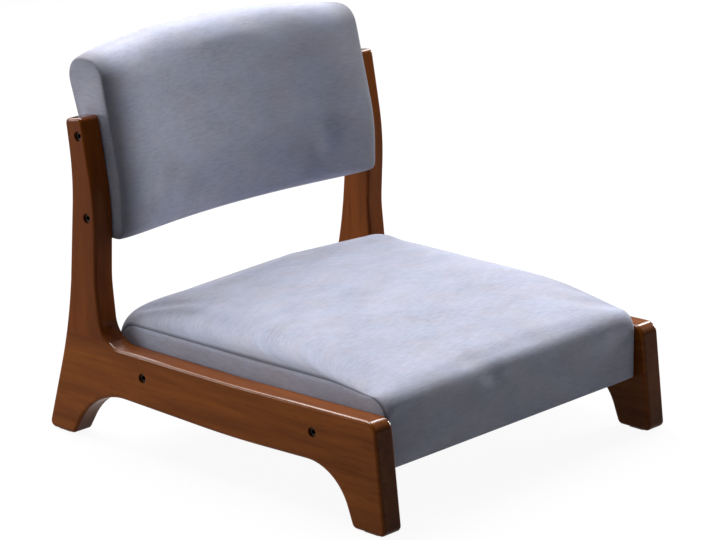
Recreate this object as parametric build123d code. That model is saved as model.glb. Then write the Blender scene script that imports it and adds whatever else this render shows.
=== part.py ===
from build123d import *
import math
import os

# Low floor chair: two shaped wooden side frames with an upholstered seat and backrest bolted between.
# Origin at the middle of the footprint on the floor, +Z up, the sitter faces -Y, all lengths in mm.
# "back" below is the distance behind the front toes, "ahead" the distance in front of the rear heels,
# and "up" is the height above the floor.

# Overall sizes
chair_width = 460.0
chair_depth = 511.0

# Side frames: boards with an S-curved post, a dipping rail and two splayed feet
board_thickness = 27.0
arris_radius = 3.5
toe_radius = 7.0
front_foot_lean = 6.7
front_corner_radius = 13.5
rail_top_front = 122.0
rail_top_middle = 116.9
rail_top_rear = 116.5
rail_bottom_front = 62.3
rail_bottom_middle = 56.8
rail_bottom_rear = 61.8
rail_middle_back = 221.5
rail_bend_radius = 1500.0
front_sole_end = 44.5
front_arch_lean = 21.0
front_arch_radius = 60.0
rear_sole_end = 39.1
rear_arch_lean = 31.0
rear_arch_radius = 85.0
rear_foot_lean = 16.6

# Post: corners of its outline before they are rounded into bends
post_height = 368.0
post_root_ahead = 90.5
post_root_radius = 31.0
post_swell_ahead = 82.8
post_swell_up = 186.0
post_swell_radius = 150.0
post_waist_ahead = 86.5
post_waist_up = 268.0
post_waist_radius = 300.0
post_top_ahead = 67.8
post_top_length = 26.2
post_top_fall = 4.4
post_corner_radius = 5.5
post_hollow_ahead = 50.7
post_hollow_up = 301.0
post_hollow_radius = 310.0
post_bow_up = 136.5
post_bow_radius = 550.0
post_seam_up = 121.0

# Dowels in the glued seam, set in from its rear end
dowel_diameter = 10.0
dowel_length = 40.0
dowel_fit = 0.1
dowel_end_space = 0.5
dowel_insets = (18.0, 44.0)

# Pads under the feet
pad_thickness = 1.5
pad_length = 22.0
pad_width = 18.0
pad_corner_radius = 3.0

# Bolts: socket heads sunk in the outer faces, screwed into inserts
bolt_diameter = 6.0
bolt_length = 30.0
head_diameter = 10.0
head_height = 6.0
socket_across_flats = 5.0
socket_depth = 3.0
counterbore_diameter = 11.0
counterbore_depth = 8.5
bolt_hole_diameter = 6.6
insert_diameter = 9.0
insert_length = 13.0
insert_fit = 0.1
seat_bolt_up = 92.2
seat_front_bolt_back = 101.0
seat_rear_bolt_ahead = 154.1
back_bolt_ahead = 72.3
back_bolt_up = 256.7
back_bolt_pitch = 90.6

# Clearances and cloth
soft_clearance = 0.3
fabric_thickness = 1.5

# Seat cushion, outside of its cover
seat_front_back = 20.5
seat_rear_ahead = 87.6
seat_bottom_up = 61.0
seat_seam_up = 144.5
seat_crown = 13.5
seat_front_edge_up = 136.0
seat_break_back = 104.5
seat_break_shift = 60.0
seat_break_radius = 200.0
seat_front_radius = 20.0
seat_front_swell = 3.0
seat_rear_radius = 16.0
seat_rear_fall = 3.0
seat_soft_radius = 4.0

# Seat frame and deck
frame_bar_thickness = 22.0
frame_bar_height = 43.0
frame_front_foam = 4.5
deck_thickness = 9.0
cover_hem_width = 26.0
dust_cover_thickness = 0.8
dust_cover_margin = 12.0
corner_block_leg = 45.0
corner_block_height = 36.0

# Backrest cushion, outside of its cover
back_bottom_up = 229.5
back_bottom_rise = 5.0
back_top_up = 427.0
back_top_rise = 5.0
back_end_drop = 3.0
back_front_ahead = 99.3
back_thickness = 47.0
back_bend_up = 272.0
back_front_lean = 10.5
back_hollow_up = 310.0
back_rear_lean = 18.0
back_sagitta = 16.0
back_bend_radius = 220.0
back_front_radius = 20.0
back_rear_radius = 16.0
back_bottom_radius = 8.0

# Backrest core
core_lean = 6.4
panel_thickness = 8.0
panel_sagitta = 32.0
panel_top = 111.0
panel_bottom = -16.0
cleat_thickness = 20.0
cleat_width = 26.0
cleat_margin = 8.0

half_width = chair_width / 2
inner_half = half_width - board_thickness
soft_half = inner_half - soft_clearance
core_half = soft_half - fabric_thickness - soft_clearance


def place(back, up):
    """Turn a distance behind the toes and a height into a point of the side view."""
    return Vector(back - chair_depth / 2, up)


def place_ahead(ahead, up):
    """Turn a distance in front of the heels and a height into a point of the side view."""
    return Vector(chair_depth / 2 - ahead, up)


def slope(degrees):
    return math.tan(math.radians(degrees))


def box_between(low, high):
    """Make a box from its lowest and highest corners."""
    size = [b - a for a, b in zip(low, high)]
    middle = [(a + b) / 2 for a, b in zip(low, high)]
    return Pos(*middle) * Box(*size)


def cylinder_along_x(diameter, x_start, x_end, point):
    """Make a round bar along X between two planes, through a point of the side view."""
    circle = Plane.YZ.offset(x_start) * Pos(point.X, point.Y) * Circle(diameter / 2)
    return extrude(circle, amount=x_end - x_start, dir=(1, 0, 0))


def mirrored(shape):
    """Give the right-hand copy of a left-hand piece."""
    return mirror(shape, about=Plane.YZ)


def export(name, shape):
    export_step(shape, "parts/" + name + ".step")


def toe_run(lean):
    """Give how far a rounded toe stops short of the corner that its leaning edge makes with the sole."""
    return toe_radius * (1 / slope((90 - lean) / 2) - 1)


def frame_corners():
    """List a glued-up side frame's corners and their bend radii, round from the front toe."""
    front = -toe_run(front_foot_lean)
    heel = -toe_run(rear_foot_lean)
    leg_height = rail_top_front - pad_thickness
    front_knee = front_sole_end + (rail_bottom_front - pad_thickness) * slope(front_arch_lean)
    rear_knee = rear_sole_end + (rail_bottom_rear - pad_thickness) * slope(rear_arch_lean)
    bow = heel + (post_bow_up - pad_thickness) * slope(rear_foot_lean)
    return [(place(front, pad_thickness), toe_radius),
            (place(front + leg_height * slope(front_foot_lean), rail_top_front), front_corner_radius),
            (place(rail_middle_back, rail_top_middle), rail_bend_radius),
            (place_ahead(post_root_ahead, rail_top_rear), post_root_radius),
            (place_ahead(post_swell_ahead, post_swell_up), post_swell_radius),
            (place_ahead(post_waist_ahead, post_waist_up), post_waist_radius),
            (place_ahead(post_top_ahead, post_height), post_corner_radius),
            (place_ahead(post_top_ahead - post_top_length, post_height - post_top_fall), post_corner_radius),
            (place_ahead(post_hollow_ahead, post_hollow_up), post_hollow_radius),
            (place_ahead(bow, post_bow_up), post_bow_radius),
            (place_ahead(heel, pad_thickness), toe_radius),
            (place_ahead(rear_sole_end, pad_thickness), toe_radius),
            (place_ahead(rear_knee, rail_bottom_rear), rear_arch_radius),
            (place(rail_middle_back, rail_bottom_middle), rail_bend_radius),
            (place(front_knee, rail_bottom_front), front_arch_radius),
            (place(front_sole_end, pad_thickness), toe_radius)]


def frame_blank():
    """Saw the outline from a board and round both arrises all the way round."""
    points, radii = zip(*frame_corners())
    outline = FilletPolyline(*points, radius=list(radii), close=True)
    face = Plane.YZ.offset(-half_width) * make_face(outline)
    blank = extrude(face, amount=board_thickness, dir=(1, 0, 0))
    outer = blank.faces().sort_by(Axis.X)[0]
    inner = blank.faces().sort_by(Axis.X)[-1]
    return fillet(outer.edges() + inner.edges(), arris_radius)


def bolt_points():
    """Give the bolts' places in the side view: two through the rail, two through the post."""
    seat = [place(seat_front_bolt_back, seat_bolt_up), place_ahead(seat_rear_bolt_ahead, seat_bolt_up)]
    lower = place_ahead(back_bolt_ahead, back_bolt_up)
    lean = math.radians(core_lean)
    upper = lower + Vector(math.sin(lean), math.cos(lean)) * back_bolt_pitch
    return seat, [lower, upper]


def bored_for_bolts(board, points):
    """Cut a through hole and a counterbore from the outer face at each point."""
    for point in points:
        board -= cylinder_along_x(bolt_hole_diameter, -half_width, -inner_half, point)
        board -= cylinder_along_x(counterbore_diameter, -half_width, -half_width + counterbore_depth, point)
    return board


def dowel_set():
    """Make the dowels centred on the post's seam, and the longer holes they are glued into."""
    seam_ahead = (post_seam_up - pad_thickness) * slope(rear_foot_lean) - toe_run(rear_foot_lean)
    x = -half_width + board_thickness / 2
    spots = [Pos(x, place_ahead(seam_ahead + inset, 0).X, post_seam_up) for inset in dowel_insets]
    pins = [spot * Cylinder(dowel_diameter / 2 - dowel_fit, dowel_length) for spot in spots]
    holes = [spot * Cylinder(dowel_diameter / 2, dowel_length + 2 * dowel_end_space) for spot in spots]
    return pins, holes


def make_side_frame():
    """Split the blank along the seam under its post, dowel it and bore it for the bolts."""
    blank = frame_blank()
    reach = chair_depth + post_height
    upright = box_between((-half_width - 1, place_ahead(post_root_ahead + post_root_radius, 0).X, post_seam_up),
                          (-inner_half + 1, reach, reach))
    post = blank & upright
    rail = blank - upright
    pins, holes = dowel_set()
    for hole in holes:
        post -= hole
        rail -= hole
    seat_points, back_points = bolt_points()
    return bored_for_bolts(post, back_points), bored_for_bolts(rail, seat_points), pins


def foot_pad(middle_y):
    """Make a thin pad, set in from the edges of a sole."""
    x = -half_width + board_thickness / 2
    pad = Pos(x, middle_y, pad_thickness / 2) * Box(pad_width, pad_length, pad_thickness)
    return fillet(pad.edges().filter_by(Axis.Z), pad_corner_radius)


def socket_bolt(point):
    """Make a socket-head bolt, its head seated in the counterbore and its shank pointing in."""
    seat_x = -half_width + counterbore_depth
    shank = cylinder_along_x(bolt_diameter, seat_x, seat_x + bolt_length, point)
    head = cylinder_along_x(head_diameter, seat_x - head_height, seat_x, point)
    hexagon = RegularPolygon(socket_across_flats / 2, 6, major_radius=False)
    hexagon = Plane.YZ.offset(seat_x - head_height) * Pos(point.X, point.Y) * hexagon
    return head + shank - extrude(hexagon, amount=socket_depth, dir=(1, 0, 0))


def insert(point):
    """Make a threaded insert, flush with the end of the core."""
    body = cylinder_along_x(insert_diameter, -core_half, -core_half + insert_length, point)
    bore = cylinder_along_x(bolt_diameter + 2 * insert_fit, -core_half, -core_half + insert_length, point)
    return body - bore


def bored_for_inserts(bar, points):
    """Cut the inserts' holes into a left-hand bar, right through to leave room for the bolts' ends."""
    for point in points:
        bar -= cylinder_along_x(insert_diameter + 2 * insert_fit, -core_half, -core_half + insert_length, point)
    return bar


def snipped_for_bolts(cloth, points):
    """Cut a small square in each end of a cover where a bolt passes."""
    half = bolt_hole_diameter / 2
    for point in points:
        snip = box_between((-inner_half, point.X - half, point.Y - half), (-core_half, point.X + half, point.Y + half))
        cloth = cloth - snip - mirrored(snip)
    return cloth


def seat_section(x, softness, inset):
    """Draw the seat's side outline at one station, drawn in by an inset."""
    front = seat_front_back + inset - seat_front_swell * softness
    rear = seat_rear_ahead + inset
    bottom = seat_bottom_up + inset
    top = seat_seam_up + seat_crown * softness - inset
    upper = FilletPolyline(place(front, bottom), place(front, seat_front_edge_up - inset),
                           place(seat_break_back + seat_break_shift * softness, top),
                           place_ahead(rear, top - seat_rear_fall), place_ahead(rear, bottom),
                           radius=[seat_front_radius - inset + seat_soft_radius * softness, seat_break_radius,
                                   seat_rear_radius - inset + seat_soft_radius * softness])
    outline = Wire(upper.edges() + [Line(place_ahead(rear, bottom), place(front, bottom))])
    return Plane.YZ.offset(x) * Face(outline)


def seat_form(inset):
    """Loft the crowned seat through stations from side to side."""
    half = soft_half - inset
    stations = [(1.0, 0.0), (0.95, 0.4), (0.8, 0.7), (0.45, 0.93)]
    left = [seat_section(-half * share, softness, inset) for share, softness in stations]
    right = [seat_section(half * share, softness, inset) for share, softness in reversed(stations)]
    return loft(left + right, ruled=True)


def seat_levels():
    """Give the heights of the frame's underside, the deck's underside and the deck's top."""
    frame_low = seat_bottom_up + fabric_thickness + soft_clearance
    deck_low = frame_low + frame_bar_height
    return frame_low, deck_low, deck_low + deck_thickness


def seat_frame_span():
    """Give where the seat frame starts and ends, front to back, in Y."""
    skin = fabric_thickness + soft_clearance
    return place(seat_front_back + skin + frame_front_foam, 0).X, place_ahead(seat_rear_ahead + skin, 0).X


def make_seat_frame():
    """Make four bars, butted at the corners between the side bars."""
    low, high, _ = seat_levels()
    front, rear = seat_frame_span()
    side_inner = core_half - frame_bar_thickness
    left = box_between((-core_half, front, low), (-side_inner, rear, high))
    seat_points, _ = bolt_points()
    left = bored_for_inserts(left, seat_points)
    bar_front = box_between((-side_inner, front, low), (side_inner, front + frame_bar_thickness, high))
    bar_rear = box_between((-side_inner, rear - frame_bar_thickness, low), (side_inner, rear, high))
    return left, mirrored(left), bar_front, bar_rear


def make_corner_blocks():
    """Make a glue block in each corner of the frame, under the deck."""
    _, high, _ = seat_levels()
    front, rear = seat_frame_span()
    x = core_half - frame_bar_thickness
    blocks = []
    for x_sign in (-1, 1):
        for corner_y, y_sign in ((front + frame_bar_thickness, -1), (rear - frame_bar_thickness, 1)):
            triangle = Polyline((0, 0), (-x_sign * corner_block_leg, 0), (0, -y_sign * corner_block_leg), close=True)
            base = Pos(x_sign * x, corner_y, high - corner_block_height) * make_face(triangle)
            blocks.append(extrude(base, amount=corner_block_height, dir=(0, 0, 1)))
    return blocks


def make_deck():
    """Make the plywood deck, glued and stapled on the frame."""
    _, low, high = seat_levels()
    front, rear = seat_frame_span()
    return box_between((-core_half, front, low), (core_half, rear, high))


def make_seat_cover():
    """Make the cloth round the whole cushion, hemmed under the frame and open below."""
    cloth = seat_form(0.0) - seat_form(fabric_thickness)
    front, rear = seat_frame_span()
    low, _, _ = seat_levels()
    cloth -= box_between((-core_half + cover_hem_width, front + cover_hem_width, seat_bottom_up - 1),
                         (core_half - cover_hem_width, rear - cover_hem_width, low))
    seat_points, _ = bolt_points()
    return snipped_for_bolts(cloth, seat_points)


def make_seat_foam():
    """Fill the cover above the deck, with a thin apron down in front of the frame."""
    low, _, deck_high = seat_levels()
    front, _ = seat_frame_span()
    reach = chair_depth
    core = box_between((-reach, front - soft_clearance, -1), (reach, reach, deck_high + soft_clearance))
    under = box_between((-reach, -reach, -1), (reach, reach, low + soft_clearance))
    return seat_form(fabric_thickness + soft_clearance) - core - under


def make_dust_cover():
    """Make the thin sheet that closes the frame from below, lapped over the hem."""
    front, rear = seat_frame_span()
    high = seat_bottom_up - soft_clearance
    return box_between((-core_half + dust_cover_margin, front + dust_cover_margin, high - dust_cover_thickness),
                       (core_half - dust_cover_margin, rear - dust_cover_margin, high))


def back_section(x, inset):
    """Draw the backrest's side outline at one station, drawn in by an inset."""
    share = min(1.0, abs(x) / soft_half)
    middle = 1 - share ** 2
    bow = back_sagitta * middle
    top = back_top_up + back_top_rise * middle - back_end_drop * share ** 12 - inset
    bottom = back_bottom_up + back_bottom_rise * middle + inset
    front = back_front_ahead - bow - inset
    rear = back_front_ahead - back_thickness - bow + inset
    front_top = front - (top - back_bend_up) * slope(back_front_lean)
    rear_top = rear - (top - back_hollow_up) * slope(back_rear_lean)
    corners = [place_ahead(front, bottom), place_ahead(front, back_bend_up), place_ahead(front_top, top),
               place_ahead(rear_top, top), place_ahead(rear, back_hollow_up), place_ahead(rear, bottom)]
    radii = [back_bottom_radius - inset, back_bend_radius, back_front_radius - inset,
             back_rear_radius - inset, back_bend_radius, back_bottom_radius - inset]
    return Plane.YZ.offset(x) * make_face(FilletPolyline(*corners, radius=radii, close=True))


def back_form(inset):
    """Loft the bowed backrest through stations from side to side."""
    half = soft_half - inset
    shares = [1.0, 0.9, 0.65, 0.25]
    left = [-half * share for share in shares]
    return loft([back_section(x, inset) for x in left + [-x for x in reversed(left)]], ruled=True)


def core_place():
    """Give the frame of the backrest's core: at the lower bolts, leaning back."""
    lower = place_ahead(back_bolt_ahead, back_bolt_up)
    return Location((0, lower.X, lower.Y), (-core_lean, 0, 0))


def bent_cylinder(radius, centre_y, low, high):
    """Make an upright cylinder, in the core's frame, that the panel is bent round."""
    return Pos(0, centre_y, (low + high) / 2) * Cylinder(radius, high - low)


def panel_bend():
    """Work out the panel's front radius and centre from its bow between the ends."""
    radius = (core_half ** 2 + panel_sagitta ** 2) / (2 * panel_sagitta)
    front_at_ends = -cleat_thickness / 2 - panel_thickness
    return radius, front_at_ends + panel_sagitta - radius


def make_panel():
    """Bend the plywood: a strip between two cylinders, trimmed to the core's width."""
    radius, centre_y = panel_bend()
    ring = bent_cylinder(radius + panel_thickness, centre_y, panel_bottom, panel_top)
    ring -= bent_cylinder(radius, centre_y, panel_bottom, panel_top)
    trim = box_between((-core_half, centre_y + radius / 2, panel_bottom),
                       (core_half, centre_y + radius * 2, panel_top))
    return ring & trim


def make_cleat():
    """Make the left cleat, its front cut to the panel's curve and glued to it."""
    radius, centre_y = panel_bend()
    low, high = panel_bottom + cleat_margin, panel_top - cleat_margin
    cleat = box_between((-core_half, -cleat_thickness, low), (-core_half + cleat_width, cleat_thickness / 2, high))
    return cleat - bent_cylinder(radius + panel_thickness, centre_y, low, high)


def make_back_core():
    """Make the panel and both cleats, standing in the chair."""
    stand = core_place()
    _, back_points = bolt_points()
    left = bored_for_inserts(stand * make_cleat(), back_points)
    return stand * make_panel(), left, mirrored(left)


def make_back_cover():
    """Make the cloth round the backrest."""
    _, back_points = bolt_points()
    return snipped_for_bolts(back_form(0.0) - back_form(fabric_thickness), back_points)


def make_back_foams():
    """Fill the cover: one foam over the panel's face and top, one behind it round the cleats."""
    radius, centre_y = panel_bend()
    stand = core_place()
    reach = chair_depth
    high = panel_top + soft_clearance
    filling = back_form(fabric_thickness + soft_clearance)
    before = stand * bent_cylinder(radius - soft_clearance, centre_y, -reach, high)
    behind = stand * bent_cylinder(radius + panel_thickness + soft_clearance, centre_y, -reach, high)
    over = stand * box_between((-reach, -reach, high), (reach, reach, reach))
    front = (filling & before) + (filling & over)
    cleat_low, cleat_high = panel_bottom + cleat_margin, panel_top - cleat_margin
    room = stand * box_between((-reach, -reach, cleat_low - soft_clearance),
                               (-core_half + cleat_width + soft_clearance, cleat_thickness / 2 + soft_clearance,
                                cleat_high + soft_clearance))
    return front, filling - over - behind - room - mirrored(room)


def main():
    os.makedirs("parts", exist_ok=True)
    post, rail, pins = make_side_frame()
    seat_points, back_points = bolt_points()
    left_pieces = {
        "back_post": post,
        "side_rail": rail,
        "post_dowels": Compound(children=pins),
        "seat_bolts": Compound(children=[socket_bolt(p) for p in seat_points]),
        "back_bolts": Compound(children=[socket_bolt(p) for p in back_points]),
        "seat_inserts": Compound(children=[insert(p) for p in seat_points]),
        "back_inserts": Compound(children=[insert(p) for p in back_points]),
    }
    for name, piece in left_pieces.items():
        export("left_" + name, piece)
        export("right_" + name, mirrored(piece))
    for end, middle in (("front", place(front_sole_end / 2, 0)), ("rear", place_ahead(rear_sole_end / 2, 0))):
        pad = foot_pad(middle.X)
        export(end + "_left_foot_pad", pad)
        export(end + "_right_foot_pad", mirrored(pad))

    frame_left, frame_right, frame_front, frame_rear = make_seat_frame()
    export("seat_frame_left", frame_left)
    export("seat_frame_right", frame_right)
    export("seat_frame_front", frame_front)
    export("seat_frame_rear", frame_rear)
    export("seat_corner_blocks", Compound(children=make_corner_blocks()))
    export("seat_deck", make_deck())
    export("seat_foam", make_seat_foam())
    export("seat_cover", make_seat_cover())
    export("seat_dust_cover", make_dust_cover())

    panel, cleat_left, cleat_right = make_back_core()
    front_foam, rear_foam = make_back_foams()
    export("back_panel", panel)
    export("back_cleat_left", cleat_left)
    export("back_cleat_right", cleat_right)
    export("back_front_foam", front_foam)
    export("back_rear_foam", rear_foam)
    export("back_cover", make_back_cover())


main()
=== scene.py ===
import math

import bpy
import numpy as np
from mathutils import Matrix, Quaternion, Vector


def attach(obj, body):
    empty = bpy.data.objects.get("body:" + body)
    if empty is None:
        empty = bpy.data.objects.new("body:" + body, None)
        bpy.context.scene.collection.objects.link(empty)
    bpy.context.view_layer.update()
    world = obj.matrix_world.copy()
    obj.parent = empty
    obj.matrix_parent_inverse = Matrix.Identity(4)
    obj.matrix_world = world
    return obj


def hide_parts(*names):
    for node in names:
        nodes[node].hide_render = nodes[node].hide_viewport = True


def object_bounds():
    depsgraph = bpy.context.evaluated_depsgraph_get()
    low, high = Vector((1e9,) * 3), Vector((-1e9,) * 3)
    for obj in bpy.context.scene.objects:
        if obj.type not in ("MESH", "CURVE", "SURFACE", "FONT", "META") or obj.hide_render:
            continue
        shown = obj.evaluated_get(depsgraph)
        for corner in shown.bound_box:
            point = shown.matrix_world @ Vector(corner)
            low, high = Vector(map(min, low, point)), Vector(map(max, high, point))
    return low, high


# Low floor chair: the looks of its wood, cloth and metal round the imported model.
# Metres throughout, +Z up, the sitter faces -Y, and the left side is at -X.
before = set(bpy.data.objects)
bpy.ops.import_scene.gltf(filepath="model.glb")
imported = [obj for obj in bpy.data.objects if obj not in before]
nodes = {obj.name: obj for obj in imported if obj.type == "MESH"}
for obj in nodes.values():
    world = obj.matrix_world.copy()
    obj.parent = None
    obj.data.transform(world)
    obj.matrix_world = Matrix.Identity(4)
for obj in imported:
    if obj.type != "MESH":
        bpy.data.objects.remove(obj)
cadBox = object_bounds()
frontToes, rearHeels = cadBox[0][1], cadBox[1][1]
print("frame loaded:", len(nodes), "nodes")


view = {
    "azimuth": -46.563,      # degrees, 0 looks along +Y
    "elevation": 16.726,
    "roll": -0.415,
    "distance": 3.4345,
    "target": (-0.0058, -0.0093, 0.1872),
    "focalPixels": 3123.2,
    "imageWidth": 716.0,
    "sensor": 36.0,          # mm
}


def backVector(azimuth, elevation):
    # unit vector from the target towards a camera at these angles
    a, e = math.radians(azimuth), math.radians(elevation)
    return Vector((math.sin(a) * math.cos(e), -math.cos(a) * math.cos(e), math.sin(e)))


def makeCamera():
    data = bpy.data.cameras.new("photoCamera")
    data.sensor_width = view["sensor"]
    data.lens = view["focalPixels"] / view["imageWidth"] * view["sensor"]
    data.clip_end = 50
    camera = bpy.data.objects.new("photoCamera", data)
    bpy.context.scene.collection.objects.link(camera)
    back = backVector(view["azimuth"], view["elevation"])
    camera.location = Vector(view["target"]) + back * view["distance"]
    turned = back.to_track_quat("Z", "Y") @ Quaternion((0, 0, 1), math.radians(view["roll"]))
    camera.rotation_euler = turned.to_euler()
    bpy.context.scene.camera = camera


lamps = {
    # name: place, target, size, watts, colour
    "top": ((-0.15, 0.60, 2.0), (0.0, 0.0, 0.2), (1.6, 1.2), 46.0, (1.0, 1.0, 1.0)),
    "rim": ((0.25, 1.70, 1.70), (0.0, 0.1, 0.2), (2.3, 0.8), 46.0, (1.0, 0.97, 0.96)),
    "right": ((2.40, -0.24, 0.7), (0.0, 0.0, 0.25), (0.5, 0.9), 56.0, (1.0, 1.0, 1.0)),
    "rightHigh": ((1.90, 0.55, 1.75), (0.0, 0.0, 0.20), (0.8, 0.8), 24.0, (1.0, 1.0, 1.0)),
    "leftRear": ((-1.5, 1.7, 0.5), (0.0, 0.0, 0.15), (0.8, 0.7), 20.0, (1.0, 0.99, 0.98)),
    "sheen": ((1.90, 2.00, 1.1), (0.0, 0.1, 0.25), (1.3, 0.6), 7.0, (1.0, 0.93, 0.90)),
}
room = {
    "ambient": 0.02, "floorSize": 8.0, "glow": 1.10, "shadowKept": 0.15,
    "floorColour": (0.35, 0.35, 0.35, 1), "floorRoughness": 0.9, "floorSpecular": 0.1,
}


def makeLamps():
    for name, (place, target, size, watts, colour) in lamps.items():
        data = bpy.data.lights.new(name + "Lamp", "AREA")
        data.shape = "RECTANGLE"
        data.size, data.size_y = size
        data.energy = watts
        data.color = colour
        lamp = bpy.data.objects.new(name + "Lamp", data)
        bpy.context.scene.collection.objects.link(lamp)
        lamp.location = place
        aim = Vector(place) - Vector(target)
        lamp.rotation_euler = aim.to_track_quat("Z", "Y").to_euler()


def seenDirectly(tree):
    # 1 for camera, glossy and transmission rays, 0 for the rest
    path = tree.nodes.new("ShaderNodeLightPath")
    first = tree.nodes.new("ShaderNodeMath")
    first.operation = "MAXIMUM"
    tree.links.new(path.outputs["Is Camera Ray"], first.inputs[0])
    tree.links.new(path.outputs["Is Glossy Ray"], first.inputs[1])
    second = tree.nodes.new("ShaderNodeMath")
    second.operation = "MAXIMUM"
    tree.links.new(first.outputs[0], second.inputs[0])
    tree.links.new(path.outputs["Is Transmission Ray"], second.inputs[1])
    return second.outputs[0]


def makeRoom():
    world = bpy.data.worlds.new("studio")
    world.use_nodes = True
    tree = world.node_tree
    background = tree.nodes["Background"]
    background.inputs["Color"].default_value = (1, 1, 1, 1)
    strength = tree.nodes.new("ShaderNodeMapRange")
    strength.inputs["To Min"].default_value = room["ambient"]
    strength.inputs["To Max"].default_value = 1.0
    path = tree.nodes.new("ShaderNodeLightPath")
    tree.links.new(path.outputs["Is Camera Ray"], strength.inputs["Value"])
    tree.links.new(strength.outputs[0], background.inputs["Strength"])
    bpy.context.scene.world = world

    half = room["floorSize"] / 2
    mesh = bpy.data.meshes.new("floor")
    corners = [(-half, -half, 0), (half, -half, 0), (half, half, 0), (-half, half, 0)]
    mesh.from_pydata(corners, [], [(0, 1, 2, 3)])
    floor = bpy.data.objects.new("floor", mesh)
    bpy.context.scene.collection.objects.link(floor)
    material = bpy.data.materials.new("paleFloor")
    material.use_nodes = True
    tree = material.node_tree
    principled = tree.nodes["Principled BSDF"]
    principled.inputs["Base Color"].default_value = room["floorColour"]
    principled.inputs["Roughness"].default_value = room["floorRoughness"]
    principled.inputs["Specular IOR Level"].default_value = room["floorSpecular"]
    glow = tree.nodes.new("ShaderNodeEmission")
    glow.inputs["Color"].default_value = (1, 1, 1, 1)
    glow.inputs["Strength"].default_value = room["glow"]
    share = tree.nodes.new("ShaderNodeMath")
    share.operation = "MULTIPLY"
    share.inputs[1].default_value = 1 - room["shadowKept"]
    tree.links.new(seenDirectly(tree), share.inputs[0])
    mix = tree.nodes.new("ShaderNodeMixShader")
    tree.links.new(share.outputs[0], mix.inputs[0])
    tree.links.new(principled.outputs[0], mix.inputs[1])
    tree.links.new(glow.outputs[0], mix.inputs[2])
    tree.links.new(mix.outputs[0], tree.nodes["Material Output"].inputs["Surface"])
    mesh.materials.append(material)


makeCamera()
makeLamps()
makeRoom()
bpy.context.scene.view_settings.view_transform = "Standard"
print("camera, lamps and floor made")


def newGroup(name, inputs, outputs):
    # inputs and outputs: name -> (socket type, default or None)
    group = bpy.data.node_groups.new(name, "ShaderNodeTree")
    for socket, (kind, value) in inputs.items():
        item = group.interface.new_socket(socket, in_out="INPUT", socket_type=kind)
        if value is not None:
            item.default_value = value
    for socket, kind in outputs.items():
        group.interface.new_socket(socket, in_out="OUTPUT", socket_type=kind)
    start = group.nodes.new("NodeGroupInput")
    end = group.nodes.new("NodeGroupOutput")
    return group, start, end


def mathNode(tree, operation, a, b=None, clamp=False):
    node = tree.nodes.new("ShaderNodeMath")
    node.operation = operation
    node.use_clamp = clamp
    for index, value in enumerate((a, b)):
        if value is None:
            continue
        if isinstance(value, (int, float)):
            node.inputs[index].default_value = value
        else:
            tree.links.new(value, node.inputs[index])
    return node.outputs[0]


def mixColour(tree, factor, a, b, blend="MIX"):
    node = tree.nodes.new("ShaderNodeMix")
    node.data_type = "RGBA"
    node.blend_type = blend
    for socket, value in ((node.inputs[0], factor), (node.inputs[6], a), (node.inputs[7], b)):
        if isinstance(value, (int, float, tuple)):
            socket.default_value = value
        else:
            tree.links.new(value, socket)
    return node.outputs[2]


def noiseNode(tree, vector, scale, detail=4.0, roughness=0.55, distortion=0.0):
    node = tree.nodes.new("ShaderNodeTexNoise")
    tree.links.new(vector, node.inputs["Vector"])
    node.inputs["Scale"].default_value = scale
    node.inputs["Detail"].default_value = detail
    node.inputs["Roughness"].default_value = roughness
    node.inputs["Distortion"].default_value = distortion
    return node.outputs["Fac"]


def scaledVector(tree, vector, scale):
    node = tree.nodes.new("ShaderNodeVectorMath")
    node.operation = "MULTIPLY"
    tree.links.new(vector, node.inputs[0])
    if isinstance(scale, tuple):
        node.inputs[1].default_value = scale
    else:
        tree.links.new(scale, node.inputs[1])
    return node.outputs[0]


def rangeNode(tree, value, low, high, outLow=0.0, outHigh=1.0):
    node = tree.nodes.new("ShaderNodeMapRange")
    tree.links.new(value, node.inputs["Value"])
    for socket, number in zip(("From Min", "From Max", "To Min", "To Max"), (low, high, outLow, outHigh)):
        node.inputs[socket].default_value = number
    return node.outputs[0]


def stretchedNoise(tree, vector, stretch, detail, roughness):
    return noiseNode(tree, scaledVector(tree, vector, stretch), 1.0, detail, roughness)


def weightedSum(tree, pairs):
    # each pair is a socket and its weight
    total = None
    for value, weight in pairs:
        part = mathNode(tree, "MULTIPLY", value, weight)
        total = part if total is None else mathNode(tree, "ADD", total, part)
    return total


def centred(tree, value):
    # a noise value moved to lie about zero
    return mathNode(tree, "SUBTRACT", value, 0.5)


boardGrain = {
    "broad": {"scale": 16.0, "detail": 3.0, "roughness": 0.5, "distortion": 0.6}, "broadShare": 0.55,
    "lines": {"scale": 95.0, "detail": 5.0, "roughness": 0.6, "distortion": 0.35}, "lineShare": 0.45,
    "pores": {"scale": 620.0, "detail": 2.0, "roughness": 0.5}, "figureRange": (0.36, 0.64),
    "poreRange": (0.60, 0.74), "poreInk": (0.004, 0.002, 0.001, 1), "inkShare": 0.75,
    "lineHeight": 0.35, "poreDepth": 0.5,
}


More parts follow.
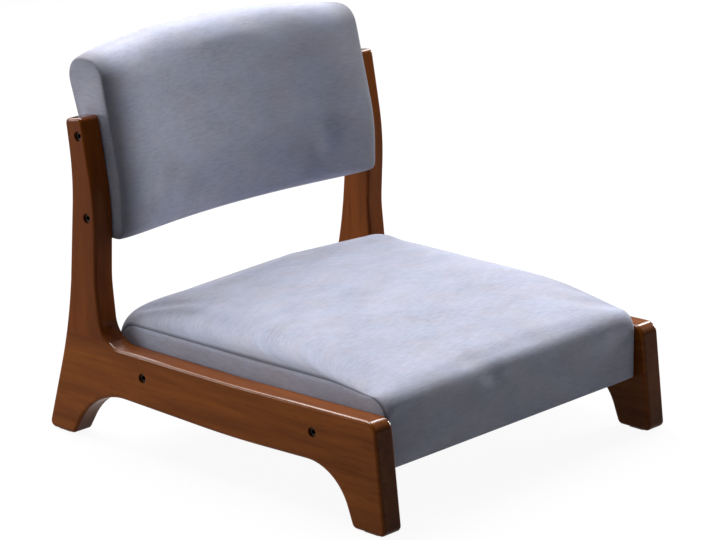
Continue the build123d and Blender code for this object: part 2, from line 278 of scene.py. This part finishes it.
def makeGrainGroup(shape):
    # board grain along the squeezed axis: broad figure, growth lines and short dark pores
    group, start, end = newGroup(
        "boardGrain",
        {"Vector": ("NodeSocketVector", None), "Squeeze": ("NodeSocketVector", (1, 1, 0.1)),
         "Dark": ("NodeSocketColor", (0.05, 0.02, 0.01, 1)),
         "Light": ("NodeSocketColor", (0.2, 0.1, 0.05, 1)), "Pore": ("NodeSocketFloat", 0.5)},
        {"Colour": "NodeSocketColor", "Height": "NodeSocketFloat", "Figure": "NodeSocketFloat"})
    along = scaledVector(group, start.outputs["Vector"], start.outputs["Squeeze"])
    broad = noiseNode(group, along, **shape["broad"])
    lines = noiseNode(group, along, **shape["lines"])
    pores = noiseNode(group, along, **shape["pores"])
    figure = weightedSum(group, ((broad, shape["broadShare"]), (lines, shape["lineShare"])))
    spread = rangeNode(group, figure, *shape["figureRange"])
    base = mixColour(group, spread, start.outputs["Dark"], start.outputs["Light"])
    poreMask = rangeNode(group, pores, *shape["poreRange"])
    poreShare = mathNode(group, "MULTIPLY", poreMask, start.outputs["Pore"], clamp=True)
    inked = mixColour(group, shape["inkShare"], base, shape["poreInk"])
    colour = mixColour(group, poreShare, base, inked)
    height = weightedSum(group, ((lines, shape["lineHeight"]), (poreShare, -shape["poreDepth"])))
    group.links.new(colour, end.inputs["Colour"])
    group.links.new(height, end.inputs["Height"])
    group.links.new(spread, end.inputs["Figure"])
    return group


clothWeave = {
    # a noise's values: its stretch in u and v, detail, roughness
    "weftStreaks": ((75.0, 430.0, 1.0), 2.0, 0.55), "weftShare": 0.72,
    "warpStreaks": ((520.0, 90.0, 1.0), 2.0, 0.5), "warpShare": 0.28,
    "mottle": ((15.0, 30.0, 1.0), 4.0, 0.6), "mottleTone": 0.8,
    "dye": ((21.0, 27.0, 3.0), 3.0, 0.5), "dyeRange": (0.38, 0.62),
    "coolDye": (0.97, 1.0, 1.035, 1), "warmDye": (1.02, 0.995, 0.98, 1),
    "overShare": 0.35, "crownShare": 0.65, "threadTone": 0.14, "slubTone": 4.0, "slubHeight": 2.0,
    "middleTone": 0.50,
}


def makeWeaveGroup(shape):
    # plain weave in u and v (metres): two thread waves, slubs along the weft and soft mottling
    group, start, end = newGroup(
        "plainWeave",
        {"Vector": ("NodeSocketVector", None), "Pitch": ("NodeSocketFloat", 0.0009),
         "Dark": ("NodeSocketColor", (0.1, 0.1, 0.12, 1)),
         "Light": ("NodeSocketColor", (0.3, 0.3, 0.35, 1)), "Slub": ("NodeSocketFloat", 0.5)},
        {"Colour": "NodeSocketColor", "Height": "NodeSocketFloat", "Tone": "NodeSocketFloat"})
    where = start.outputs["Vector"]
    split = group.nodes.new("ShaderNodeSeparateXYZ")
    group.links.new(where, split.inputs[0])
    turns = mathNode(group, "DIVIDE", math.pi, start.outputs["Pitch"])
    warp = mathNode(group, "SINE", mathNode(group, "MULTIPLY", split.outputs[0], turns))
    weft = mathNode(group, "SINE", mathNode(group, "MULTIPLY", split.outputs[1], turns))
    over = mathNode(group, "MULTIPLY", warp, weft)
    warpCrowns = mathNode(group, "ABSOLUTE", warp)
    crowns = mathNode(group, "MAXIMUM", warpCrowns, mathNode(group, "ABSOLUTE", weft))
    threads = weightedSum(group, ((over, shape["overShare"]), (crowns, shape["crownShare"])))
    weftStreaks = stretchedNoise(group, where, *shape["weftStreaks"])
    warpStreaks = stretchedNoise(group, where, *shape["warpStreaks"])
    mottle = stretchedNoise(group, where, *shape["mottle"])
    dye = stretchedNoise(group, where, *shape["dye"])
    streaks = weightedSum(group, ((weftStreaks, shape["weftShare"]), (warpStreaks, shape["warpShare"])))
    slubs = mathNode(group, "MULTIPLY", centred(group, streaks), start.outputs["Slub"])
    tone = weightedSum(group, ((slubs, shape["slubTone"]), (centred(group, mottle), shape["mottleTone"]),
                               (threads, shape["threadTone"])))
    level = mathNode(group, "ADD", tone, shape["middleTone"], clamp=True)
    plain = mixColour(group, level, start.outputs["Dark"], start.outputs["Light"])
    dyeShare = rangeNode(group, dye, *shape["dyeRange"])
    tint = mixColour(group, dyeShare, shape["coolDye"], shape["warmDye"])
    colour = mixColour(group, 1.0, plain, tint, "MULTIPLY")
    height = mathNode(group, "ADD", threads, mathNode(group, "MULTIPLY", slubs, shape["slubHeight"]))
    group.links.new(colour, end.inputs["Colour"])
    group.links.new(height, end.inputs["Height"])
    group.links.new(level, end.inputs["Tone"])
    return group


grainGroup = makeGrainGroup(boardGrain)
weaveGroup = makeWeaveGroup(clothWeave)


def placeGroup(tree, group, vector, values):
    node = tree.nodes.new("ShaderNodeGroup")
    node.node_tree = group
    tree.links.new(vector, node.inputs["Vector"])
    for name, value in values.items():
        node.inputs[name].default_value = value
    return node


def newMaterial(name, values):
    material = bpy.data.materials.new(name)
    material.use_nodes = True
    principled = material.node_tree.nodes["Principled BSDF"]
    for socket, value in values.items():
        principled.inputs[socket].default_value = value
    return material, material.node_tree, principled


def bumpFrom(tree, height, distance, strength, principled):
    bump = tree.nodes.new("ShaderNodeBump")
    bump.inputs["Distance"].default_value = distance
    bump.inputs["Strength"].default_value = strength
    tree.links.new(height, bump.inputs["Height"])
    tree.links.new(bump.outputs[0], principled.inputs["Normal"])
    return bump


frameWood = {
    "dark": (0.112, 0.027, 0.0035, 1), "light": (0.245, 0.071, 0.0105, 1), "pore": 0.40,
    "specular": 0.05, "roughness": 0.30, "coatRoughness": 0.11, "coatSides": 0.02, "coatTop": 1.0,
    "coatFlat": 0.35, "endShade": 0.45, "across": 1.0, "along": 0.07,
}
# the posts are coloured slightly darker than the rails
postWood = {
    **frameWood, "dark": (0.084, 0.018, 0.0022, 1), "light": (0.182, 0.047, 0.0065, 1), "coatFlat": 1.0,
}
bareWood = {
    "dark": (0.42, 0.27, 0.13, 1), "light": (0.62, 0.45, 0.26, 1), "pore": 0.25,
    "specular": 0.4, "roughness": 0.65, "coatRoughness": 0.3, "coatSides": 0.0, "coatTop": 0.0,
    "coatFlat": 0.0, "endShade": 0.25, "across": 1.0, "along": 0.08,
}
woodSurface = {
    # ranges of a normal's upward share, and of its share along the grain
    "risingRange": (0.12, 0.65), "flatRange": (0.93, 0.99), "endRange": (0.75, 0.98),
    "duller": 0.08, "glossier": 0.04, "grainDepth": 0.0004, "grainStrength": 0.25,
}


def makeWood(name, look, grainAxis, shift=(0.0, 0.0, 0.0)):
    # the lacquer shines on upper edges, less on the rails' flat tops, and is dull on upright faces
    material, tree, principled = newMaterial(name, {
        "Roughness": look["roughness"], "Coat Roughness": look["coatRoughness"],
        "Specular IOR Level": look["specular"]})
    where = tree.nodes.new("ShaderNodeTexCoord")
    facing = tree.nodes.new("ShaderNodeSeparateXYZ")
    tree.links.new(where.outputs["Normal"], facing.inputs[0])
    upward = facing.outputs["Z"]
    shine = rangeNode(tree, upward, *woodSurface["risingRange"], look["coatSides"], look["coatTop"])
    flat = rangeNode(tree, upward, *woodSurface["flatRange"], 1.0, look["coatFlat"])
    tree.links.new(mathNode(tree, "MULTIPLY", shine, flat), principled.inputs["Coat Weight"])
    mapping = tree.nodes.new("ShaderNodeMapping")
    mapping.inputs["Location"].default_value = shift
    tree.links.new(where.outputs["Object"], mapping.inputs["Vector"])
    squeeze = [look["across"]] * 3
    squeeze[grainAxis] = look["along"]
    grain = placeGroup(tree, grainGroup, mapping.outputs[0], {
        "Squeeze": tuple(squeeze), "Dark": look["dark"], "Light": look["light"], "Pore": look["pore"]})
    # end grain soaks up more stain and is darker
    endways = mathNode(tree, "ABSOLUTE", facing.outputs[grainAxis])
    endShare = rangeNode(tree, endways, *woodSurface["endRange"], 0.0, look["endShade"])
    colour = mixColour(tree, endShare, grain.outputs["Colour"], (0.0, 0.0, 0.0, 1))
    tree.links.new(colour, principled.inputs["Base Color"])
    gloss = rangeNode(tree, grain.outputs["Figure"], 0.0, 1.0, look["roughness"] + woodSurface["duller"],
                      look["roughness"] - woodSurface["glossier"])
    tree.links.new(gloss, principled.inputs["Roughness"])
    bumpFrom(tree, grain.outputs["Height"], woodSurface["grainDepth"], woodSurface["grainStrength"], principled)
    return material


def dress(nodeName, material):
    mesh = nodes[nodeName].data
    mesh.materials.clear()
    mesh.materials.append(material)


for side, shift in (("left", 0.0), ("right", 0.7)):
    dress(side + "_back_post", makeWood(side + "PostWood", postWood, 2, (0.13, shift, 0.0)))
    dress(side + "_side_rail", makeWood(side + "RailWood", frameWood, 1, (0.31, shift, 0.2)))
    dress(side + "_post_dowels", makeWood(side + "Dowel", bareWood, 2))
sideBar = makeWood("sideBarWood", bareWood, 1)
crossBar = makeWood("crossBarWood", bareWood, 0)
uprightBar = makeWood("uprightWood", bareWood, 2)
plyFace = makeWood("plyFace", bareWood, 0, (0.4, 0.2, 0.1))
for material, names in (
        (sideBar, ("seat_frame_left", "seat_frame_right")), (crossBar, ("seat_frame_front", "seat_frame_rear")),
        (plyFace, ("seat_deck", "back_panel")),
        (uprightBar, ("seat_corner_blocks", "back_cleat_left", "back_cleat_right"))):
    for name in names:
        dress(name, material)
print("wood dressed")


# painted shade: the bolt colour is a dark reddish brown that stands in for the shade inside their counterbores
steel = {"colour": (0.055, 0.042, 0.032, 1), "roughness": 0.48}
yellowZinc = {"colour": (0.60, 0.52, 0.32, 1), "roughness": 0.38}
metalSurface = {
    "scratches": ((900.0, 160.0, 160.0), 3.0, 0.6), "scratchRange": (0.3, 0.7), "darkened": 0.7,
    "glossier": 0.08, "duller": 0.12, "depth": 0.0001, "strength": 0.2,
}


def makeSteel(name, look):
    material, tree, principled = newMaterial(name, {"Metallic": 1.0, "Roughness": look["roughness"]})
    where = tree.nodes.new("ShaderNodeTexCoord")
    scratches = stretchedNoise(tree, where.outputs["Object"], *metalSurface["scratches"])
    darker = tuple(channel * metalSurface["darkened"] for channel in look["colour"][:3]) + (1,)
    tree.links.new(mixColour(tree, scratches, darker, look["colour"]), principled.inputs["Base Color"])
    gloss = rangeNode(tree, scratches, *metalSurface["scratchRange"],
                      look["roughness"] - metalSurface["glossier"], look["roughness"] + metalSurface["duller"])
    tree.links.new(gloss, principled.inputs["Roughness"])
    bumpFrom(tree, scratches, metalSurface["depth"], metalSurface["strength"], principled)
    return material


boltSteel = makeSteel("boltSteelPaintedShade", steel)
yellowSteel = makeSteel("yellowZinc", yellowZinc)
for side in ("left", "right"):
    for place in ("seat", "back"):
        dress(f"{side}_{place}_bolts", boltSteel)
        dress(f"{side}_{place}_inserts", yellowSteel)

foamLook = {"dark": (0.55, 0.47, 0.28, 1), "light": (0.78, 0.72, 0.52, 1), "cell": 900.0}
feltLook = {"dark": (0.035, 0.02, 0.012, 1), "light": (0.10, 0.06, 0.04, 1), "cell": 1400.0}

fuzzSurface = {
    "roughness": 0.95, "specular": 0.1, "cells": (4.0, 0.7), "cellShare": 0.7,
    "patches": (22.0, 2.0, 0.5), "patchShare": 0.3, "levelRange": (0.3, 0.7), "depth": 0.0006, "strength": 0.5,
}


def makeFuzz(name, look):
    # open cells or felted fibres: fine cells for colour and depth, and broad patches for colour
    material, tree, principled = newMaterial(name, {
        "Roughness": fuzzSurface["roughness"], "Specular IOR Level": fuzzSurface["specular"]})
    where = tree.nodes.new("ShaderNodeTexCoord").outputs["Object"]
    cells = noiseNode(tree, where, look["cell"], *fuzzSurface["cells"])
    patches = noiseNode(tree, where, *fuzzSurface["patches"])
    blend = weightedSum(tree, ((cells, fuzzSurface["cellShare"]), (patches, fuzzSurface["patchShare"])))
    level = rangeNode(tree, blend, *fuzzSurface["levelRange"])
    tree.links.new(mixColour(tree, level, look["dark"], look["light"]), principled.inputs["Base Color"])
    bumpFrom(tree, cells, fuzzSurface["depth"], fuzzSurface["strength"], principled)
    return material


foamMaterial = makeFuzz("creamFoam", foamLook)
feltMaterial = makeFuzz("brownFelt", feltLook)
for name in ("seat_foam", "back_front_foam", "back_rear_foam"):
    dress(name, foamMaterial)
for name in nodes:
    if name.endswith("foot_pad"):
        dress(name, feltMaterial)
print("steel, foam and felt dressed")


coverCloth = {
    "dark": (0.245, 0.253, 0.315, 1), "light": (0.465, 0.482, 0.590, 1), "pitch": 0.0009, "slub": 0.24,
    "roughness": 0.88, "sheen": 0.12, "sheenRoughness": 0.4, "specular": 0.2, "depth": 0.0004,
    "strength": 0.35, "seamWidth": 0.0018, "seamShade": 0.80, "thread": (0.03, 0.03, 0.04, 1),
    # the next colour is painted shade, mixed into the cloth beside the seams
    "edge": (0.10, 0.10, 0.11, 1),
}
dustCloth = {
    "dark": (0.010, 0.010, 0.012, 1), "light": (0.032, 0.032, 0.036, 1), "pitch": 0.0006, "slub": 0.35,
    "roughness": 0.95, "sheen": 0.05, "sheenRoughness": 0.5, "specular": 0.2, "depth": 0.0002,
    "strength": 0.35,
}


def makeCloth(name, look, sewn):
    # sewn cloth follows the cushions' own layout, with dark seam lines and a band of painted shade beside its
    # seams
    material, tree, principled = newMaterial(name, {
        "Roughness": look["roughness"], "Sheen Weight": look["sheen"],
        "Sheen Roughness": look["sheenRoughness"], "Specular IOR Level": look["specular"]})
    where = tree.nodes.new("ShaderNodeTexCoord")
    weave = placeGroup(tree, weaveGroup, where.outputs["UV" if sewn else "Object"], {
        "Pitch": look["pitch"], "Dark": look["dark"], "Light": look["light"], "Slub": look["slub"]})
    colour = weave.outputs["Colour"]
    if sewn:
        near = tree.nodes.new("ShaderNodeAttribute")
        near.attribute_name = "seamNear"
        shade = rangeNode(tree, near.outputs["Fac"], 0.0, look["seamWidth"], look["seamShade"], 0.0)
        paintedShadeShare = tree.nodes.new("ShaderNodeAttribute")
        paintedShadeShare.attribute_name = "edgeWorn"
        # painted shade: the cloth is darkened towards this colour in a band beside the seams
        colour = mixColour(tree, paintedShadeShare.outputs["Fac"], colour, look["edge"])
        colour = mixColour(tree, shade, colour, look["thread"])
    tree.links.new(colour, principled.inputs["Base Color"])
    bumpFrom(tree, weave.outputs["Height"], look["depth"], look["strength"], principled)
    return material


coverMaterial = makeCloth("coverCloth", coverCloth, True)
dustMaterial = makeCloth("dustCloth", dustCloth, False)
dress("seat_dust_cover", dustMaterial)
for name in ("seat_cover", "back_cover"):
    dress(name, coverMaterial)
print("cloth dressed")


def behindToes(distance):
    return frontToes + distance


def aheadOfHeels(distance):
    return rearHeels - distance


def roundedLoops(corners, radii, step):
    # closed outlines of every station at once: straight runs between arcs that touch both sides of a corner;
    # corners are stations x corners x 2, radii stations x corners
    toPrevious = np.roll(corners, 1, axis=1) - corners
    toNext = np.roll(corners, -1, axis=1) - corners
    toPrevious /= np.linalg.norm(toPrevious, axis=2, keepdims=True)
    toNext /= np.linalg.norm(toNext, axis=2, keepdims=True)
    half = np.arccos(np.clip((toPrevious * toNext).sum(2), -1, 1)) / 2
    run = (radii / np.tan(half))[..., None]
    middle = toPrevious + toNext
    middle /= np.linalg.norm(middle, axis=2, keepdims=True)
    centres = corners + middle * (radii / np.sin(half))[..., None]
    starts, ends = corners + toPrevious * run, corners + toNext * run
    sweeps = np.pi - 2 * half
    pieces = []
    for k in range(corners.shape[1]):
        sweep = sweeps[:, k, None, None]
        count = max(2, int(np.ceil((sweeps[:, k] * radii[:, k]).mean() / step)))
        share = (np.arange(count) / count)[None, :, None]
        first = (starts - centres)[:, k, None]
        last = (ends - centres)[:, k, None]
        arc = (np.sin((1 - share) * sweep) * first + np.sin(share * sweep) * last) / np.sin(sweep)
        pieces.append(centres[:, k, None] + arc)
        nextStart = np.roll(starts, -1, axis=1)[:, k, None]
        length = np.linalg.norm(nextStart[:, 0] - ends[:, k], axis=1).mean()
        count = max(1, int(round(length / step)))
        share = (np.arange(count) / count)[None, :, None]
        pieces.append(ends[:, k, None] * (1 - share) + nextStart * share)
    return np.concatenate(pieces, axis=1)


def zipped(row, offset):
    # close a ring of points with quads between its two halves, counted both ways from one point
    row = np.roll(row, -offset)
    half = len(row) // 2
    one, other = row[:half], row[::-1][:half]
    return np.stack([one[:-1], one[1:], other[1:], other[:-1]], axis=1)


def cushionMesh(name, x, loops, look):
    # a tube of outlines along x, closed at each end by a sewn-in panel: rings that shrink towards its middle
    # and a zipped strip between the last ring's halves
    panelHalf, rings = look["panelHalf"], look["rings"]
    loops = loops[:, :loops.shape[1] // 2 * 2]
    stations, around = loops.shape[:2]
    tube = np.concatenate([np.broadcast_to(x[:, None, None], (stations, around, 1)), loops], axis=2)
    grid = np.arange(stations * around).reshape(stations, around)
    quads = [np.stack([grid[:-1], grid[1:], np.roll(grid, -1, 1)[1:], np.roll(grid, -1, 1)[:-1]], axis=2)]
    lengths = np.linalg.norm(np.roll(loops, -1, 1) - loops, axis=2).mean(0)
    v = np.concatenate([[0.0], np.cumsum(lengths)])
    low, high, left, right = (
        np.broadcast_to(row, (stations - 1, around)) for row in (v[:-1], v[1:], x[:-1, None], x[1:, None]))
    uvs = [np.stack([np.stack([left, low], 2), np.stack([right, low], 2), np.stack([right, high], 2),
                     np.stack([left, high], 2)], axis=2).reshape(-1, 2)]
    points = [tube.reshape(-1, 3)]
    near = [np.broadcast_to((np.abs(x).max() - np.abs(x))[:, None], (stations, around)).ravel()]
    total = stations * around
    for cap, side in ((0, -1), (stations - 1, 1)):
        rim = tube[cap]
        share = (look["ringShares"] * np.arange(1, rings + 1) / rings)[:, None, None]
        ring = rim[None] * (1 - share) + rim.mean(0) * share
        ring[..., 0] = side * panelHalf
        points.append(ring.reshape(-1, 3))
        near.append(np.linalg.norm(ring[..., 1:] - rim[None, :, 1:], axis=2).ravel())
        rows = np.concatenate([grid[cap][None], total + np.arange(rings * around).reshape(rings, around)])
        total += rings * around
        face = np.stack([rows[:-1], np.roll(rows, -1, 1)[:-1], np.roll(rows, -1, 1)[1:], rows[1:]], axis=2)
        panel = np.concatenate([face.reshape(-1, 4), zipped(rows[-1], look["zipStart"])])
        quads.append(panel if side < 0 else panel[:, ::-1])
    allPoints = np.concatenate(points)
    quads = np.concatenate([part.reshape(-1, 4) for part in quads])
    mesh = bpy.data.meshes.new(name)
    mesh.from_pydata(allPoints.tolist(), [], quads.tolist())
    uvs.append(allPoints[quads[(stations - 1) * around:].ravel()][:, 1:])
    layer = mesh.uv_layers.new(name="clothUv")
    layer.data.foreach_set("uv", np.concatenate(uvs).ravel())
    near = np.concatenate(near)
    # painted shade beside the seam on the tube's side of it, standing in for the shade where the cover rolls
    # away from the light: a bell curve of the distance
    paintedShadeShare = look["edgeShade"] * np.exp(-(near / look["edgeWidth"]) ** 2)
    # the end panels take a share of the painted shade
    paintedShadeShare[stations * around:] *= look["panelShadeShare"]
    for attributeName, values in (("seamNear", near + look["seamSunk"]), ("edgeWorn", paintedShadeShare)):
        attribute = mesh.attributes.new(attributeName, "FLOAT", "POINT")
        attribute.data.foreach_set("value", values)
    return mesh


evenShare = 0.55


def stationsAcross(half, count):
    # closer together towards both ends: a sine spread blended with an even one
    even = np.linspace(-1, 1, count)
    return half * (evenShare * even + (1 - evenShare) * np.sin(even * np.pi / 2))


def readPoints(mesh):
    points = np.empty(len(mesh.vertices) * 3)
    mesh.vertices.foreach_get("co", points)
    return points.reshape(-1, 3)


def writePoints(mesh, points):
    mesh.vertices.foreach_set("co", points.ravel())
    mesh.update()


clothFrames = 20


def heldCloth(cushion, held, look):
    # blow the cover up from inside, held by its seams and where it rests, and cap how far a point moves
    group = cushion.vertex_groups.new(name="held")
    for weight in np.unique(held):
        if weight > 0:
            group.add(np.flatnonzero(held == weight).tolist(), float(weight), "REPLACE")
    start = readPoints(cushion.data)
    cloth = cushion.modifiers.new("Cloth", "CLOTH")
    settings = cloth.settings
    settings.vertex_group_mass = "held"
    settings.use_pressure = True
    settings.uniform_pressure_force = look["pressure"]
    settings.effector_weights.gravity = 0
    settings.tension_stiffness = settings.compression_stiffness = look["stiffness"]
    settings.bending_stiffness = look["bending"]
    scene = bpy.context.scene
    for step in range(1, clothFrames + 1):
        scene.frame_set(step)
    evaluated = cushion.evaluated_get(bpy.context.evaluated_depsgraph_get())
    move = readPoints(evaluated.data) - start
    scene.frame_set(1)
    cushion.modifiers.clear()
    cushion.vertex_groups.clear()
    length = np.linalg.norm(move, axis=1, keepdims=True)
    move *= look["cap"] * np.tanh(length / look["cap"]) / np.maximum(length, 1e-9)
    blown = start + move
    blown[:, 0] = np.clip(blown[:, 0], -look["panelHalf"], look["panelHalf"])
    writePoints(cushion.data, blown)
    print(cushion.name, "blown up by at most", round(float(length.max()) * 1000, 1), "mm")


def subdivided(cushion):
    smooth = cushion.modifiers.new("Smooth", "SUBSURF")
    smooth.levels = smooth.render_levels = 1
    finer = bpy.data.meshes.new_from_object(cushion.evaluated_get(bpy.context.evaluated_depsgraph_get()))
    cushion.modifiers.clear()
    cushion.data = finer
    finer.shade_smooth()


def cushionPiece(name, x, corners, radii, look):
    # a sewn cushion held at its end panels, and below its resting height where it has one
    outline = np.stack([np.stack(pair, 1) for pair in corners], axis=1)
    mesh = cushionMesh(name, x, roundedLoops(outline, radii, look["step"]), look)
    pad = bpy.data.objects.new(name, mesh)
    bpy.context.scene.collection.objects.link(pad)
    points = readPoints(mesh)
    atEnd = np.abs(points[:, 0]) > look["half"] - 1e-5
    resting = points[:, 2] < look["restsBelow"]
    heldCloth(pad, np.where(atEnd | resting, 1.0, 0.0), look)
    subdivided(pad)
    pad.data.materials.append(coverMaterial)
    return pad


seatPad = {
    "half": 0.2014, "panelHalf": 0.2022, "front": 0.0215, "rearAhead": 0.0870, "bottom": 0.0613,
    "seam": 0.1430, "roll": 0.0170, "rollPower": 12.0, "crown": 0.0020, "frontEdge": 0.1345,
    "frontCrown": 0.0045, "frontSwell": 0.0015, "break": 0.095, "breakShift": 0.085,
    "rearFall": 0.001, "tilt": 0.0028, "rearTilt": 0.0035,
    "radii": (0.003, 0.022, 0.200, 0.024, 0.003), "softer": (0.0, -0.009, 0.0, -0.009, 0.0),
    "rightRound": 0.026, "roundSlope": 2.0, "roundStart": 0.6,
    # the next line's first three values set the painted shade beside the seams and on the end panels
    "edgeShade": 0.15, "edgeWidth": 0.008, "panelShadeShare": 0.0, "seamSunk": 0.0,
    "stations": 86, "step": 0.005, "rings": 7, "ringShares": 0.55, "zipStart": 7,
    "pressure": 2.0, "stiffness": 30.0, "bending": 8.0, "cap": 0.003, "restsBelow": 0.0653,
}


def makeSeatPad(look):
    x = stationsAcross(look["half"], look["stations"])
    sideways = x / look["half"]
    share = np.abs(sideways)
    soft = np.sqrt(1 - share ** look["rollPower"])
    ones = np.ones_like(x)
    bottom = look["bottom"] * ones
    front = behindToes(look["front"]) - look["frontSwell"] * soft
    rear = aheadOfHeels(look["rearAhead"]) * ones
    top = look["seam"] + look["roll"] * soft + look["crown"] * (1 - share ** 2) + look["tilt"] * sideways
    frontEdge = look["frontEdge"] + look["frontCrown"] * soft
    breakBack = behindToes(look["break"]) + look["breakShift"] * soft
    rearTop = top - look["rearFall"] + look["rearTilt"] * sideways
    corners = ((front, bottom), (front, frontEdge), (breakBack, top), (rear, rearTop), (rear, bottom))
    radii = np.array(look["radii"])[None] + np.array(look["softer"])[None] * soft[:, None]
    # the rear top corner grows rounder towards the right end
    radii[:, 3] += look["rightRound"] * np.clip(look["roundSlope"] * sideways - look["roundStart"], 0, 1)
    pad = cushionPiece("seatPad", x, corners, radii, look)
    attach(pad, "root")
    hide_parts("seat_cover", "seat_foam")


backPad = {
    "half": 0.2014, "panelHalf": 0.2022, "bottom": 0.2298, "bottomRise": -0.0030, "top": 0.4250,
    "topRise": 0.0125, "frontAhead": 0.0985, "thickness": 0.0505, "bend": 0.290, "frontLean": 12.5,
    "hollow": 0.310, "rearLean": 18.0, "bow": 0.026, "bulge": 0.010, "bulgePower": 10.0,
    "endDrop": 0.001, "tilt": 0.0010, "twist": 0.005,
    "radii": (0.010, 0.220, 0.024, 0.020, 0.220, 0.010), "softer": (0.004, 0.0, 0.004, -0.002, 0.0, 0.004),
    # the next line's first three values set the painted shade beside the seams and on the end panels
    "edgeShade": 0.68, "edgeWidth": 0.025, "panelShadeShare": 0.55, "seamSunk": 0.0011,
    "stations": 86, "step": 0.005, "rings": 5, "ringShares": 0.6, "zipStart": -5,
    "pressure": 1.0, "stiffness": 30.0, "bending": 14.0, "cap": 0.0018, "restsBelow": 0.0,
}


def makeBackPad(look):
    x = stationsAcross(look["half"], look["stations"])
    sideways = x / look["half"]
    share = np.abs(sideways)
    ones = np.ones_like(x)
    middle = 1 - share ** 2
    full = 1 - share ** look["bulgePower"]
    top = look["top"] + look["topRise"] * middle - look["endDrop"] * (1 - full) - look["tilt"] * sideways
    bottom = look["bottom"] + look["bottomRise"] * middle
    front = aheadOfHeels(look["frontAhead"]) + look["bow"] * middle - look["bulge"] * full
    rear = aheadOfHeels(look["frontAhead"] - look["thickness"]) + (look["bow"] - look["bulge"]) * middle
    frontTop = front + (top - look["bend"]) * math.tan(math.radians(look["frontLean"]))
    frontTop += look["twist"] * np.maximum(sideways, 0)
    rearTop = rear + (top - look["hollow"]) * math.tan(math.radians(look["rearLean"]))
    corners = ((front, bottom), (front, look["bend"] * ones), (frontTop, top),
               (rearTop, top), (rear, look["hollow"] * ones), (rear, bottom))
    radii = np.array(look["radii"])[None] + np.array(look["softer"])[None] * full[:, None]
    pad = cushionPiece("backPad", x, corners, radii, look)
    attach(pad, "root")
    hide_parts("back_cover", "back_front_foam", "back_rear_foam")


makeSeatPad(seatPad)
makeBackPad(backPad)
print("cushions made")
